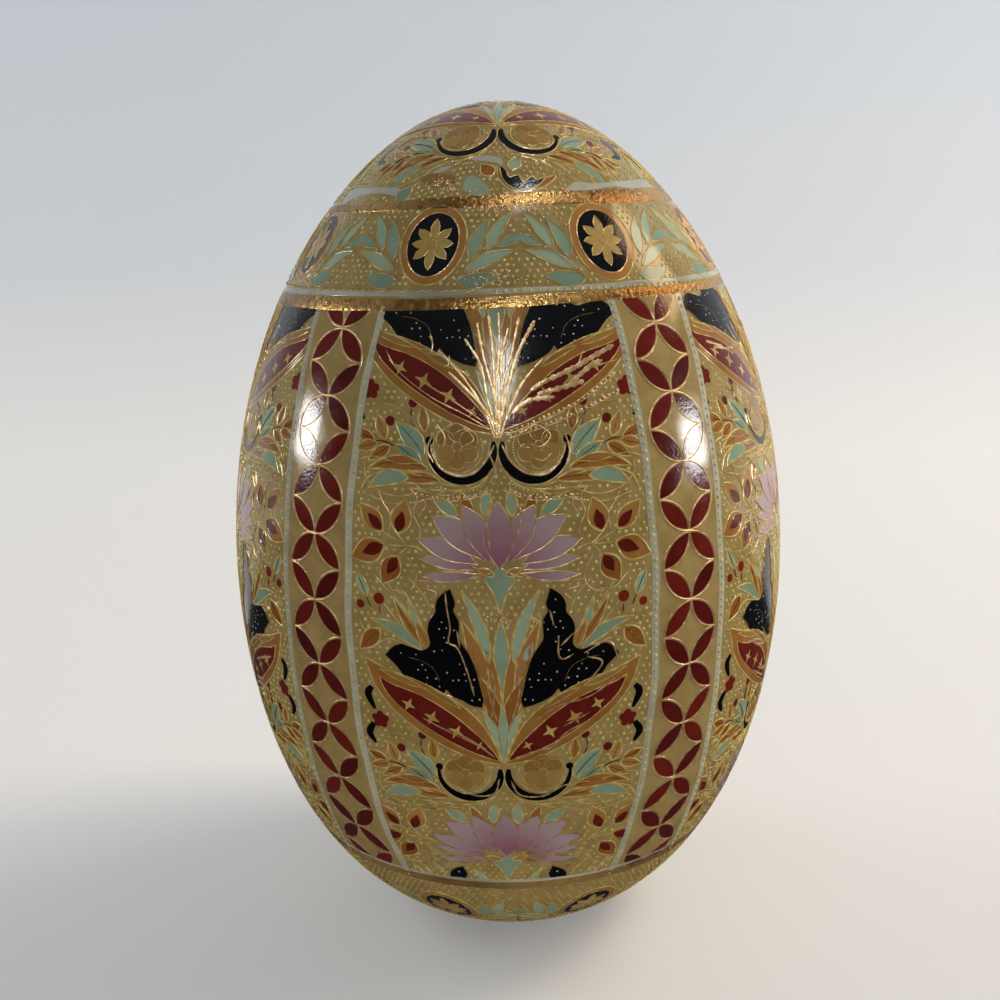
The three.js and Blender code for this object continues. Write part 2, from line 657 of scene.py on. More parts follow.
BIRD = outline(
    [(7.4, 30.1), (8.3, 29.6), (9.3, 28.7), (9.8, 27.5), (9.85, 26.4), (10.8, 25.0), (11.15, 23.5),
     (10.85, 21.3), (12.0, 20.3), (13.6, 20.6), (15.2, 21.0), (16.4, 20.7), (17.4, 19.9), (18.2, 18.9)],
    [(18.2, 18.9), (16.6, 17.5), (15.3, 15.9), (13.9, 14.7), (12.6, 14.1), (11.3, 14.1)],
    [(11.3, 14.1), (10.2, 13.3), (9.1, 13.3), (8.5, 14.1)],
    [(8.5, 14.1), (7.6, 13.0), (6.2, 12.2), (4.8, 11.6), (3.1, 11.2)],
    [(3.1, 11.2), (2.8, 12.6), (3.1, 14.0), (3.8, 17.3), (4.8, 20.0), (6.2, 22.3), (6.2, 25.0), (7.0, 26.7),
     (6.7, 27.8), (7.4, 30.1)])
WING_BORDER = outline(
    [(21.8, 18.0), (17.9, 16.5), (13.6, 15.4), (10.2, 14.0), (6.9, 12.0), (3.7, 9.0), (1.4, 5.0), (0.3, 1.2)],
    [(0.3, 1.2), (3.7, 1.9), (6.9, 3.1), (10.2, 4.8), (13.4, 6.8), (17.3, 9.9), (20.2, 13.6), (21.8, 18.0)])
WING = outline(
    [(19.5, 15.2), (17.3, 14.2), (13.4, 13.1), (10.2, 11.6), (6.9, 9.3), (3.7, 6.2), (1.6, 3.6), (0.6, 1.8)],
    [(0.6, 1.8), (3.7, 2.9), (6.9, 4.4), (10.2, 6.3), (13.4, 8.4), (16.4, 10.7), (18.4, 12.8), (19.5, 15.2)])


ROSETTE_RADIUS = 2.0


def leaves(unit, paint, shapes, rib=None, rim="trace", width=GILT_WIDTH):
    """Leaves given as base, tip, width and bend, each with a middle line where rib names its paint."""
    for base, tip, breadth, *bend in shapes:
        bend = bend[0] if bend else 0.0
        unit.fill(paint, leaf(base, tip, breadth, bend), rim=rim, width=width)
        if rib:
            unit.line(leaf_rib(base, tip, bend), 0.15, rib, height=0.13, smooth=False)


def central_stems(unit):
    unit.fill("teal", leaf((0, 10.0), (0, 25.4), 2.3, 0.0, 1.5), both=False)
    leaves(unit, "ochre", [((1.9, 11.0), (6.0, 25.6), 2.7, 0.6), ((0.5, 9.0), (2.5, 23.0), 1.5, 0.3),
                           ((0.4, 4.6), (4.4, 17.6), 2.3, 1.0)])
    leaves(unit, "teal", [((1.9, 18.6), (5.9, 30.0), 1.8, 0.7), ((0.4, 3.6), (3.1, 10.8), 1.3, 0.4)])
    unit.fill("teal", leaf((0, 1.6), (0, 12.5), 1.5), both=False)
    unit.lines_alike([[(0.2, 3), (1.0, 9), (1.5, 15.5)], [(1.3, 8.0), (2.7, 12.8), (3.4, 17.0)],
                      [(2.9, 14.4), (4.0, 18.6), (4.6, 22.0)]], 0.24, "brown")
    unit.fill("teal", outline([(0, 33.3), (2.2, 31.9), (1.0, 29.5), (0, 26.3)],
                              [(0, 26.3), (-1.0, 29.5), (-2.2, 31.9), (0, 33.3)]), both=False)


def bird(unit):
    unit.fill("black", BIRD, rim="brown", width=0.22)
    unit.line([(9.4, 15.0), (10.4, 17.4), (12.5, 18.6), (15.0, 19.0)], 0.2, "brown", height=0.1)
    chance = random.Random(11)
    spots = []
    for row in range(16):
        for x in np.arange(3.4, 18, 1.2):
            if chance.random() < 0.5:
                spots.append((x + 0.6 * (row % 2) + chance.uniform(-0.25, 0.25),
                              12.4 + 1.15 * row + chance.uniform(-0.25, 0.25)))
    spots = np.array(spots)
    spots = spots[inside(spots, BIRD)]
    gap = np.linalg.norm(spots[:, None] - BIRD[None], axis=2).min(1)
    unit.dot(spots[gap > 0.6], 0.21, "pale", both=True)


def wing(unit):
    unit.fill("ochre", WING_BORDER)
    unit.fill("brown", leaf((6.4, 11.0), (12.4, 14.2), 0.9, 0.3))
    unit.fill("brown", leaf((12.4, 14.2), (19.4, 16.5), 1.0))
    unit.line([(1.6, 1.7), (5.5, 2.9), (10.2, 5.4), (13.6, 7.6), (17.2, 10.5), (19.8, 13.8)], 0.2, "brown")
    unit.fill("maroon", WING)
    for centre, reach in (((14.7, 11.0), 1.25), ((11.0, 9.1), 1.45), ((7.2, 6.9), 1.35), ((3.7, 4.6), 0.9)):
        unit.fill("straw", star(centre, reach, turn=28), rim=None)


def curl(unit):
    """The black crescent with its ball and the rosette that it holds."""
    path = bow((5.45, -0.6), 4.85, 170, 364)
    t = np.linspace(0, 1, len(path))
    width = 0.45 + 0.95 * np.sin(math.pi * t ** 0.62)
    unit.fill("black", ribbon(path, width), rim=None)
    edge = ribbon(path, width + 0.25)
    unit.line(edge[len(path):], 0.26, "gold", smooth=False)
    unit.line(edge[:len(path)], 0.22, smooth=False)
    unit.fill("black", oval((10.2, 0.3), 0.6), rim=None)
    unit.fill("brown", oval((6.0, -0.5), 3.15), tone=0.9, rim=None)
    for angle in np.radians(np.arange(30, 390, 60)):
        petal = oval((6.0 + ROSETTE_RADIUS * math.cos(angle), ROSETTE_RADIUS * math.sin(angle) - 0.5), 1.3)
        unit.fill("brown", petal, width=0.3)
    unit.fill("brown", oval((6.0, -0.5), 0.7), width=0.3)
    unit.line([(4.4, 0.6), (4.9, -0.9), (6.3, -1.3), (7.6, -0.4), (7.4, 0.9)], 0.2, "gold")
    unit.dot(curve(bow((5.9, -0.7), 3.7, 160, 400), step=0.6)[::2], 0.18, "dots", both=True)


def side_sprays(unit):
    unit.line([(18.3, 5.6), (15.5, 5.3), (13, 3.6), (11.6, 1.5)], 0.24, "straw")
    unit.lines_alike([[(12.7, 5.8), (13.0, 3.4), (11.5, 0.5)], [(15.2, -0.9), (17.4, -0.1), (19.2, -0.1)]],
                     0.24, "red")
    leaves(unit, "teal", [((11.0, -2.0), (15.6, 3.0), 3.0, 0.3), ((11.4, -3.5), (15.8, -0.4), 2.0, 0.3)],
           rib="black")
    leaves(unit, "ochre", [((10.9, 1.6), (11.2, 5.4), 1.6), ((17.2, 0.2), (18.6, 3.9), 1.9),
                           ((19.0, 0.0), (22.6, 1.4), 1.7), ((18.6, -0.4), (22.4, -1.4), 1.7),
                           ((16.4, -0.7), (20.2, -3.0), 1.8)], rib="red")
    unit.fill("red", oval((12.7, 5.8), 0.7), rim=None)
    unit.fill("red", oval((16.4, 3.0), 0.75), rim=None)
    unit.fill("maroon", blossom((19.75, 7.6), 1.55, 5), rim=None)
    for points in ([(20.9, 13.2), (21.7, 11.8), (20.6, 9.3)], [(21.0, 6.7), (21.9, 4.9), (20.9, 3.1)]):
        path = curve(points)
        unit.fill("black", ribbon(path, 0.3 + 0.95 * np.sin(np.linspace(0.5, 3.0, len(path)))), rim=None)


def lower_leaves(unit):
    """Leaves that sweep outwards below the crossing."""
    unit.line([(0.2, -1.5), (1.0, -4.0), (3.0, -6.2), (6.0, -6.9), (10, -6.9), (14, -6.8)])
    unit.line([(1.0, -1.0), (2.6, -4.9), (5.0, -6.1), (8.0, -6.0), (10.5, -4.6)], 0.26)
    leaves(unit, "ochre", [((10.4, -4.0), (20.4, -4.4), 2.2, 1.1), ((8.6, -5.6), (16.4, -6.0), 1.7, 0.6)],
           rib="red")
    leaves(unit, "teal", [((13.5, -5.3), (20.2, -7.2), 2.3, 0.9)])
    unit.line([(11.4, -4.9), (15.8, -4.3), (20.0, -5.4), (21.6, -7.6)], 0.28)
    unit.lines_alike([[(11.0, -3.0), (15.0, -3.2), (19.2, -2.4), (22.4, -3.2)],
                      [(7.4, -6.8), (11.4, -8.6), (16.0, -9.2), (20.4, -8.2)],
                      [(4.0, -6.2), (7.6, -7.6), (11.0, -7.2), (12.4, -6.2)],
                      [(10.0, -6.6), (14.5, -8.0), (18.0, -7.6), (20.6, -5.6), (20.8, -3.0)]], 0.26)
    for string in ([(2.0, -7.6), (5.0, -8.0), (8.0, -7.7), (11.5, -8.6), (15.0, -9.2)],
                   [(1.2, -4.2), (2.6, -6.4), (5.6, -7.1), (9.0, -6.5)],
                   [(1.6, 1.9), (4.0, 3.9), (7.6, 5.6), (11.5, 7.2)]):
        unit.dot(curve(string, step=0.62), 0.2, "gold", both=True)


def lotus(unit):
    heart = (0, 32.6)
    petals = [((3.0, 32.4), (12.0, 31.9), 1.6, -0.3), ((3.0, 33.0), (12.2, 34.4), 2.0, 0.3),
              ((3.2, 33.8), (12.4, 37.3), 3.1, 0.4), ((2.2, 34.4), (10.0, 40.9), 4.0, 0.6),
              ((1.5, 34.0), (5.3, 42.6), 3.7, 0.4)]
    leaves(unit, "teal", [((-2.0, 41.0), (-1.7, 45.3), 1.6), ((6.1, 41.0), (9.9, 43.9), 1.8)])
    leaves(unit, "ochre", [((4.0, 41.2), (5.6, 44.6), 1.5)])
    for base, tip, width, bend in petals:
        unit.fill("lotus", leaf(base, tip, width, bend, 1.1), tone=(heart, 12.5), rim="gold", width=0.33)
    unit.fill("lotus", leaf((0, 33.2), (-0.1, 43.2), 4.5, 0.0, 0.95), tone=(heart, 14.5), rim="gold",
              width=0.35, both=False)
    leaves(unit, "ochre", [((0.8, 32.2), (3.3, 33.2), 1.1)])
    unit.line([(12.6, 31.1), (8, 31.1), (2.8, 32), (0, 33.4)], 0.34, "gold")


def side_blooms(unit):
    """Ochre blooms with red hearts on both sides of the lotus."""
    petals = [((15.5, 38.0), (14.0, 43.2), 3.3), ((17.9, 38.2), (21.7, 42.1), 3.1),
              ((17.6, 36.2), (23.6, 33.8), 3.7), ((15.5, 34.6), (18.3, 30.2), 3.3)]
    for base, _, _ in petals:
        unit.line([(13.7, 36.3), (0.5 * base[0] + 7.0, 0.5 * base[1] + 18.1), base], 0.28)
    unit.line([(11.5, 35.6), (12.6, 36.2), (14.6, 36.4)], 0.28)
    for base, tip, width in petals:
        base, tip = np.array(base), np.array(tip)
        unit.fill("ochre", leaf(base, tip, width, 0.0, 0.85), width=0.34)
        heart = leaf(base + 0.04 * (tip - base), base + 0.66 * (tip - base), width * 0.55, 0.0, 0.85)
        unit.fill("red", heart, tone=0.2, rim="brown", width=0.14)
    unit.lines_alike([[(12.4, 36.0), (11.8, 38.6), (12.8, 41.0), (12.2, 43.4), (13.4, 45.0)],
                      [(12.0, 40.8), (10.9, 42.4), (11.6, 43.4), (12.6, 42.6)],
                      [(16.8, 37.6), (16.6, 40.6), (17.8, 42.6), (18.6, 44.4)],
                      [(14.0, 34.6), (12.6, 32.0), (13.4, 29.8), (15.4, 29.0), (16.0, 30.6)],
                      [(12.2, 30.2), (9.6, 29.4), (10.6, 28.2)]], 0.24, "gold")


def grasses(unit):
    """Berries and blades beside the birds."""
    unit.line([(18.5, 25.2), (21, 26.4), (22, 26.6)], 0.22, "straw")
    unit.line([(18.9, 27.8), (18.8, 25.2)], 0.24, "red")
    unit.line([(21.2, 28.2), (20.4, 26.3)], 0.22, "red")
    unit.line([(11.2, 20.6), (13.0, 24.6), (15.3, 27.3)], 0.3)
    unit.lines_alike([[(12.6, 26.2), (14.8, 29.2), (17.4, 29.4), (19.6, 31.4)],
                      [(17.0, 22.4), (19.2, 23.2), (21.6, 22.6), (22.6, 24.2)],
                      [(11.6, 21.6), (14.4, 26.4), (17.4, 30.4)], [(12.4, 20.8), (16.6, 25.4), (20.0, 29.6)],
                      [(13.4, 20.6), (17.4, 21.6), (19.4, 20.6)], [(10.4, 26.6), (11.6, 29.0), (14.0, 31.6)]],
                     0.24)
    leaves(unit, "teal", [((11.1, 21.1), (14.1, 28.3), 1.3, -0.3), ((12.2, 20.3), (20.5, 24.5), 1.8, 0.9)])
    leaves(unit, "ochre", [((11.3, 20.6), (16.5, 28.6), 1.4, -0.4), ((10.9, 20.4), (13.0, 25.0), 1.5),
                           ((19.0, 22.9), (22.7, 19.3), 2.7)], rib="red")
    leaves(unit, "teal", [((21.0, 27.9), (22.7, 31.6), 1.7)], rib="black")
    unit.fill("red", oval((18.9, 27.8), 0.9), rim=None)
    unit.fill("red", oval((22.2, 26.6), 0.7), rim=None)


def flower_unit():
    unit = Sheet()
    for part in (central_stems, grasses, side_sprays, lower_leaves, side_blooms, lotus, bird, wing, curl):
        part(unit)
    return unit


UNIT = flower_unit()
CROSSINGS = (126.7, 75.0, 23.3)


def panel_edge(arc):
    """Half the width of a panel, between its columns."""
    return HALF_PANEL * radius_at(arc) - COLUMN_HALF


def panel_sheet():
    def room(x, y):
        sides = panel_edge(y) - EDGE_LINE / 2 + 0.1 - np.abs(x)
        return np.minimum(sides, np.minimum(SHOULDER_RING - y, y - LOWER_RING - 1.6))

    sheet = Sheet()
    for crossing in CROSSINGS:
        sheet.add(UNIT, crossing)
    sheet.cut(room)
    sheet.hide()
    sheet.sprinkle((-25, LOWER_RING), (25, SHOULDER_RING), room)
    return sheet


def coin(sheet, middle, radius):
    """A circle with four lens petals."""
    size = radius - 0.26
    half = math.degrees(math.acos(radius / math.sqrt(2) / size))
    for right, up in ((1, 1), (-1, 1), (-1, -1), (1, -1)):
        outer = bow((0, 0), size, 45 - half, 45 + half)
        inner = bow((radius, radius), size, 225 - half, 225 + half)
        petal = np.concatenate([outer[:-1], inner[:-1]]) * (right, up) + (0, middle)
        sheet.fill("maroon", petal, rim=None, both=False, tone=0.5 + 0.4 * math.sin(middle + right + 2 * up))
        arc = bow((radius, radius), radius, 180, 270) * (right, up) + (0, middle)
        sheet.line(arc, 0.29, "gold", both=False, smooth=False)
    ring = oval((0, middle), radius)
    sheet.line(np.concatenate([ring, ring[:1]]), 0.28, "gold", both=False, smooth=False)


def column_sheet(seed):
    """The column of linked circles with a pale dotted line down each side."""
    chance = random.Random(seed)
    sheet = Sheet()
    arcs = np.arange(LOWER_RING, SHOULDER_RING + 0.5, 0.8)
    for side in (-1, 1):
        wander = 0.12 * np.sin(arcs * 0.35 + seed + side)
        path = np.stack([side * COLUMN_HALF + wander, arcs], 1)
        sheet.fill("white", ribbon(path, EDGE_LINE), rim=None, both=False)
        along = np.arange(0, SHOULDER_RING - LOWER_RING, EDGE_DOT_PITCH)
        aside = np.interp(along, arcs - arcs[0], path[:, 0]) - path[0, 0]
        spots = path[0] + np.stack([aside, along], 1)
        sheet.dot(spots[spots[:, 1] < SHOULDER_RING - 0.4], EDGE_DOT_RADIUS, "dots")
    middle = SHOULDER_RING - 9.6 + chance.uniform(-0.6, 0.6)
    while middle > LOWER_RING - 6:
        coin(sheet, middle, COIN_RADIUS)
        middle -= COIN_PITCH + chance.uniform(-0.35, 0.35)
    coin(sheet, SHOULDER_RING + 1.1, COIN_RADIUS)
    sheet.cut(lambda x, y: np.minimum(SHOULDER_RING - y, y - LOWER_RING))
    return sheet


# The bands of medallions with leaf sprays between them

PETAL_REACHES = (4.5, 3.7, 3.3, 3.7)


def medallion(sheet):
    sheet.fill("ochre", oval((0, 0), 5.3, 6.9), tone=0.7, both=False, width=0.3)
    sheet.fill("black", oval((0, 0), 4.15, 5.6), both=False, width=0.3, rim="gold")
    for index in range(8):
        angle = index * math.pi / 4
        reach = PETAL_REACHES[index % 4]
        tip = (reach * math.sin(angle), reach * math.cos(angle))
        sheet.fill("straw", leaf((0, 0), tip, 1.45, 0.0, 1.25), both=False, width=0.28, rim="gold", tone=0.1)
    sheet.fill("straw", oval((0, 0), 0.75), both=False, width=0.25, rim="gold", tone=0.0)


def band_sheet(middle, low, high, seed, dots="dots"):
    def room(x, y):
        sides = math.pi / MEDALLIONS * radius_at(y) - np.abs(x)
        return np.minimum(sides, np.minimum(high - y, y - low))

    sheet = Sheet()
    leaves(sheet, "teal", [((4.8, -6.3), (11.2, -5.4), 2.6, -0.4), ((5.8, -4.7), (13.0, -1.2), 2.2, 0.4),
                           ((6.4, -2.8), (8.2, 4.6), 2.2, 0.4), ((8.7, -1.2), (11.4, 5.8), 2.0, 0.4),
                           ((9.8, -0.4), (14.6, 2.2), 1.7, -0.3)], rim="straw", width=0.3)
    sheet.line([(4.6, -6.4), (7.0, -3.4), (9.2, -0.8), (12.2, 1.6), (15.6, 3.1)], 0.22, "straw")
    medallion(sheet)
    whole = Sheet()
    whole.add(sheet, middle)
    whole.cut(room)
    whole.hide()
    whole.sprinkle((-16, low), (16, high), room, BAND_DOT_PITCH, dots, seed)
    return whole


def over_tip(points):
    """Takes outlines from x and arc length to the flat plane over the tip."""
    turn, reach = points[:, 0] / radius_at(points[:, 1]), TIP_ARC - points[:, 1]
    return np.stack([reach * np.sin(turn), -reach * np.cos(turn)], 1)


CAP_CROSSING = -18.7


def tip_sheet(mended=False):
    """Half of the decoration over the tip: the flower unit, cut off at the ring and at the half's edge."""
    def room(x, y):
        return np.minimum(TIP_ARC - TOP_RING - np.hypot(x, y), -y)

    sheet = Sheet()
    sheet.add(UNIT, CAP_CROSSING)
    sheet.line([(21.0, -6.6), (24.0, -7.6), (29.8, -7.8)], 0.3)
    leaves(sheet, "ochre", [((22.6, -8.4), (29.4, -11.0), 2.4, 0.6), ((23.4, -6.8), (30.4, -4.8), 2.2, 0.5)],
           rib="red")
    leaves(sheet, "teal", [((23.6, -10.4), (27.6, -15.2), 2.3, 0.4), ((24.6, -4.2), (31.4, -1.8), 2.0, 0.3)])
    sheet.fill("maroon", blossom((31.2, -7.8), 1.5, 5), rim=None)
    if mended:
        patches = mended_places()
        patches.fills = [(order, paint, over_tip(shape), tone) for order, paint, shape, tone in patches.fills]
        patches.lines = [(order, paint, over_tip(path), *rest) for order, paint, path, *rest in patches.lines]
        sheet.add(patches)
    sheet.cut(room)
    sheet.hide()
    sheet.sprinkle((-36, -36), (36, 0), room)
    return sheet


def ring(arc, width, sway=0.0, swell=0.0, seed=1, paint="ring", lift=0.13):
    """A gold ring round the egg whose edges wander as a brush's do."""
    chance = random.Random(seed)
    waves = [(chance.uniform(0.1, 0.25) / k ** 0.4, k, chance.uniform(0, 6.3)) for k in (2, 3, 5, 9, 17, 31)]
    turn = np.linspace(0, 2 * math.pi, 721)
    wave = sum(size * np.sin(k * turn + shift) for size, k, shift in waves)
    other = sum(size * np.sin(k * turn + shift * 2.3) for size, k, shift in waves)
    middle = arc + sway * np.sin(turn) + 0.45 * wave
    half = (width + swell * np.sin(turn) + 0.5 * other) / 2
    shares = np.array([-1.0, -0.8, 0.0, 0.8, 1.0])
    lifts = np.array([SINK, 0.85 * lift, lift, 0.85 * lift, SINK])
    y = middle[:, None] + half[:, None] * shares
    x = turn[:, None] * radius_at(y)
    points = np.stack([x, y, np.broadcast_to(lifts, y.shape)], 2).reshape(-1, 3)
    tilt = np.zeros((len(points), 2))
    tilt[:, 1] = np.tile([-0.9, -0.1, 0, 0.1, 0.9], len(turn))
    tone = np.repeat(0.5 + 0.5 * np.sin(7 * turn), len(shares))
    PIECES[paint].add(on_side(0), points, tilt, tone, strip_faces(len(turn), len(shares))[:, ::-1])


def beads(arc, pitch, radius):
    """A row of dots round the egg."""
    count = round(2 * math.pi * float(radius_at(arc)) / pitch)
    spots = np.stack([np.arange(count) * 2 * math.pi / count * radius_at(arc), np.full(count, arc)], 1)
    PIECES["dots"].add(on_side(0), *domes(spots, radius))


# The body under the decoration

BODY_COLUMNS = 250
BODY_ROWS = 140
FOOT_PROFILE = [(14.6, 0.0), (10.6, 0.0), (10.0, 0.5), (0.0, 0.6)]


def egg_body():
    """The porcelain body, a closed mesh, with a shallow recess in its base."""
    arcs = np.linspace(BASE_ARC, TIP_ARC, BODY_ROWS + 1)
    side = [(float(radius_at(arc)), float(np.interp(arc, ARC, HEIGHT))) for arc in arcs]
    profile = FOOT_PROFILE[::-1] + side
    spots = [(0, 0, profile[0][1])]
    for radius, height in profile[1:-1]:
        for column in range(BODY_COLUMNS):
            turn = 2 * math.pi * column / BODY_COLUMNS
            spots.append((radius * math.sin(turn), -radius * math.cos(turn), height))
    spots.append((0, 0, EGG_HEIGHT))
    rings = len(profile) - 2
    faces, uvs, slots = [], [], []
    for row in range(-1, rings):
        low_v, high_v = (row + 1) / (rings + 1), (row + 2) / (rings + 1)
        for column in range(BODY_COLUMNS):
            after = (column + 1) % BODY_COLUMNS
            low, high = 1 + row * BODY_COLUMNS, 1 + (row + 1) * BODY_COLUMNS
            left, right = column / BODY_COLUMNS, (column + 1) / BODY_COLUMNS
            if row == -1:
                faces.append((0, high + after, high + column))
                uvs += [(left, low_v), (right, high_v), (left, high_v)]
            elif row == rings - 1:
                faces.append((low + column, low + after, len(spots) - 1))
                uvs += [(left, low_v), (right, low_v), (left, high_v)]
            else:
                faces.append((low + column, low + after, high + after, high + column))
                uvs += [(left, low_v), (right, low_v), (right, high_v), (left, high_v)]
            slots.append(1 if row < len(FOOT_PROFILE) - 1 else 0)
    mesh = bpy.data.meshes.new("egg_body")
    mesh.from_pydata([(x * MM, y * MM, z * MM) for x, y, z in spots], [], faces)
    mesh.uv_layers.new(name="OFBake").data.foreach_set("uv", np.array(uvs).ravel())
    mesh.polygons.foreach_set("material_index", slots)
    mesh.polygons.foreach_set("use_smooth", [slot == 0 for slot in slots])
    mesh.materials.append(MATERIALS["ground"])
    mesh.materials.append(paint_material("bare_porcelain", "b9b3a6", "d6d1c5", (0.6, 0.8), relief=0.00003,
                                         tone_share=0.0, bump=0.5))
    body = bpy.data.objects.new("egg_body", mesh)
    bpy.context.scene.collection.objects.link(body)
    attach(body, "root")
    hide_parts("porcelain_egg")


# Gold brush strokes that were put on by hand, in the front panel's own x and arc length

FAN_TIPS = [(-8.8, 140.4), (-7.2, 137.2), (-4.7, 142.2), (-2.9, 144.6), (-1.2, 145.8), (0.3, 146.2),
            (1.7, 143.8), (3.3, 145.4), (5.6, 144.8), (6.8, 139.0)]
BROAD_BLADE = 8


def fan_of_strokes(sheet):
    for index, (x, y) in enumerate(FAN_TIPS):
        sway = 0.35 * math.sin(index * 2.4)
        low = 127.4 + 0.7 * (index % 3)
        run = y - low
        path = [(0.05 * x, low), (0.24 * x + sway, low + 0.34 * run),
                (0.58 * x - sway, low + 0.7 * run), (x, y)]
        width = 0.66 if index == BROAD_BLADE else 0.46
        sheet.line(path, width, "gold", both=False, height=0.22)


def front_strokes():
    sheet = Sheet()
    fan_of_strokes(sheet)
    thick = [
        [(4.9, 134.3), (7.1, 135.6), (11, 137.2), (14.4, 138.9), (17.8, 140.5)],
        [(5.9, 133.7), (9, 134.4), (12.9, 135.3)], [(10.5, 134.8), (13.9, 137.5), (15.9, 138.3)],
        [(2.2, 131.0), (4.6, 132.8), (8.4, 133.2)]]
    for points in thick:
        sheet.line(points, 0.85, "gold", both=False, height=0.24)
    for points in ([(1.2, 127.8), (6.1, 129.7), (12, 132.1), (17.8, 135.9)],
                   [(1.8, 127.4), (7.1, 128.9), (12.4, 130.8), (18.3, 133.2)],
                   [(-1.0, 119.4), (-5.0, 118.4), (-9.0, 118.2), (-13.0, 119.0)],
                   [(1.0, 119.6), (5.4, 118.2), (11.6, 118.4)]):
        sheet.line(points, 0.3, "gold", both=False)
        sheet.dot(curve(points, step=0.9) + (0, 0.35), 0.3, "gold")
    strokes = [
        [(-0.5, 126.4), (-1.7, 124.2), (-3.6, 122.3), (-6.2, 121.9), (-8.8, 123.2), (-9.5, 125.4)],
        [(-1.1, 124.8), (-0.4, 122.6), (-1.2, 120.8)],
        [(0.6, 126.4), (1.9, 124.0), (4.2, 122.2), (7.0, 122.0), (9.2, 123.6)],
        [(9.9, 127.8), (10.6, 125.4), (10.1, 123.2)], [(-9.8, 127.6), (-10.5, 125.6), (-9.6, 123.8)],
        [(-3.6, 128.4), (-6.2, 129.6), (-8.6, 128.2)],
        [(1.4, 77.2), (5.0, 78.6), (7.4, 79.0), (9.6, 81.4), (13.2, 83.2)],
        [(-1.2, 77.4), (-4.8, 80.4), (-8.8, 82.4)], [(-3.2, 85.6), (-6.6, 87.4), (-10.4, 88.6)],
        [(-0.9, 84.0), (-2.2, 90.0), (-2.0, 95.4)], [(1.0, 82.6), (2.6, 89.0), (2.2, 94.4)],
        [(-7.6, 71.4), (-4.4, 70.0), (-1.6, 70.6), (-0.8, 73.4)],
        [(1.0, 73.0), (2.4, 70.2), (6.0, 69.8), (9.4, 71.6), (12.0, 71.0)],
        [(12.9, 139.9), (12.4, 138.6), (12, 137.2)], [(13.8, 137.3), (18.3, 138.2)],
        [(-13.0, 141.4), (-10.2, 140.0), (-8.4, 139.6), (-6.4, 138.0), (-4.0, 136.6)],
        [(-10, 143), (-9.6, 141.4), (-9.9, 139.9)], [(-9.9, 139), (-7.5, 138), (-7, 139.7)],
        [(-8.2, 104.6), (-8, 102), (-7.6, 99), (-7.9, 96.8), (-6.5, 95.8), (-5.2, 92.2), (-4.2, 88.2)],
        [(-6.6, 98.8), (-6.2, 96)], [(7.3, 101.8), (7.9, 99.2)],
        [(8.6, 97.6), (8.6, 94.5), (9.5, 93.9), (10.9, 94.6)], [(8.9, 96), (11, 98)],
        [(12.5, 94.5), (15.5, 96), (17, 95.5), (18, 93)], [(13, 94), (15.4, 92.7), (12.8, 89.4)],
        [(5.0, 84.0), (8.5, 86.2), (13.5, 87.4), (18.0, 90.2)], [(9.2, 82.6), (13.4, 84.6)],
        [(-2.5, 79.0), (-7.0, 81.2), (-12.6, 84.0)],
        [(-1, 128.6), (-5, 131), (-10, 133.5), (-15, 137.2), (-17.2, 140.4)],
        [(-2, 129.8), (-7, 133.2), (-12.4, 136.4)],
        [(-6.6, 128.0), (-4.8, 128.7), (-3.5, 127.2), (-5.2, 126.2)],
        [(-9.0, 129.4), (-7.8, 127.6), (-8.2, 125.6)],
        [(3.4, 128.0), (5.6, 129.2), (7.8, 127.6), (6.2, 126.0), (4.6, 126.6)],
        [(4.6, 124.8), (6.6, 124.0), (8.2, 125.4)], [(4.2, 76.4), (6.5, 77.2), (6.0, 75.0), (7.8, 75.6)],
        [(-2.4, 96.0), (-1.2, 90.0), (-1.6, 84.6)], [(-1.4, 111.0), (-1.8, 116.2), (-1.2, 118.4)],
        [(2.6, 112.6), (3.2, 116.4), (2.2, 118.8)]]
    for x, y in ((-6.0, 126.2), (6.0, 126.2), (6.0, 74.5)):
        for angle in np.radians((30, 90, 150, 210, 330)):
            petal = oval((x + ROSETTE_RADIUS * math.cos(angle), y + ROSETTE_RADIUS * math.sin(angle)), 1.3)
            sheet.line(petal[:-2], 0.28, "gold", both=False, smooth=False)
    for points in strokes:
        sheet.line(points, 0.42, "gold", both=False, height=0.2)
    sheet.fill("white", leaf((3.4, 93.8), (4.8, 96.8), 1.3), tone=0.5, rim=None, both=False)
    return sheet


def gold_grains(low, high, count, seed):
    """Loose grains of gold where the gilding has crumbled."""
    chance = random.Random(seed)
    spots = [(chance.gauss(0, 0.4), chance.gauss(0, 0.4)) for _ in range(count)]
    middle, reach = (np.array(low) + high) / 2, (np.array(high) - low) / 2
    sheet = Sheet()
    sheet.dot(middle + np.array(spots) * reach, 0.17, "gold")
    return sheet


def loose_strokes(seed):
    """Seeded strokes of the same kind for the other panels."""
    chance = random.Random(seed)
    sheet = Sheet()
    for crossing in CROSSINGS[:2]:
        for index in range(9):
            x = -6.5 + 1.6 * index + chance.uniform(-0.5, 0.5)
            top = crossing + 19 - abs(x) * 0.5 + chance.uniform(-3, 0.5)
            path = [(0.05 * x, crossing + 1), (0.45 * x, crossing + 8), (x, top)]
            sheet.line(path, 0.42, "gold", both=False)
        for index in range(7):
            side = 1 if chance.random() < 0.5 else -1
            x, y = side * chance.uniform(3, 9), crossing + chance.uniform(3, 12)
            along = side * chance.uniform(4, 9)
            rise = abs(along) * chance.uniform(0.1, 0.6)
            bend = chance.uniform(-0.6, 0.6)
            path = [(x, y), (x + 0.5 * along, y + 0.5 * rise + bend), (x + along, y + rise)]
            sheet.line(path, 0.5, "gold", both=False)
    sheet.cut(lambda x, y: np.minimum(panel_edge(y) - 1.0 - np.abs(x), SHOULDER_RING - 1 - y))
    return sheet


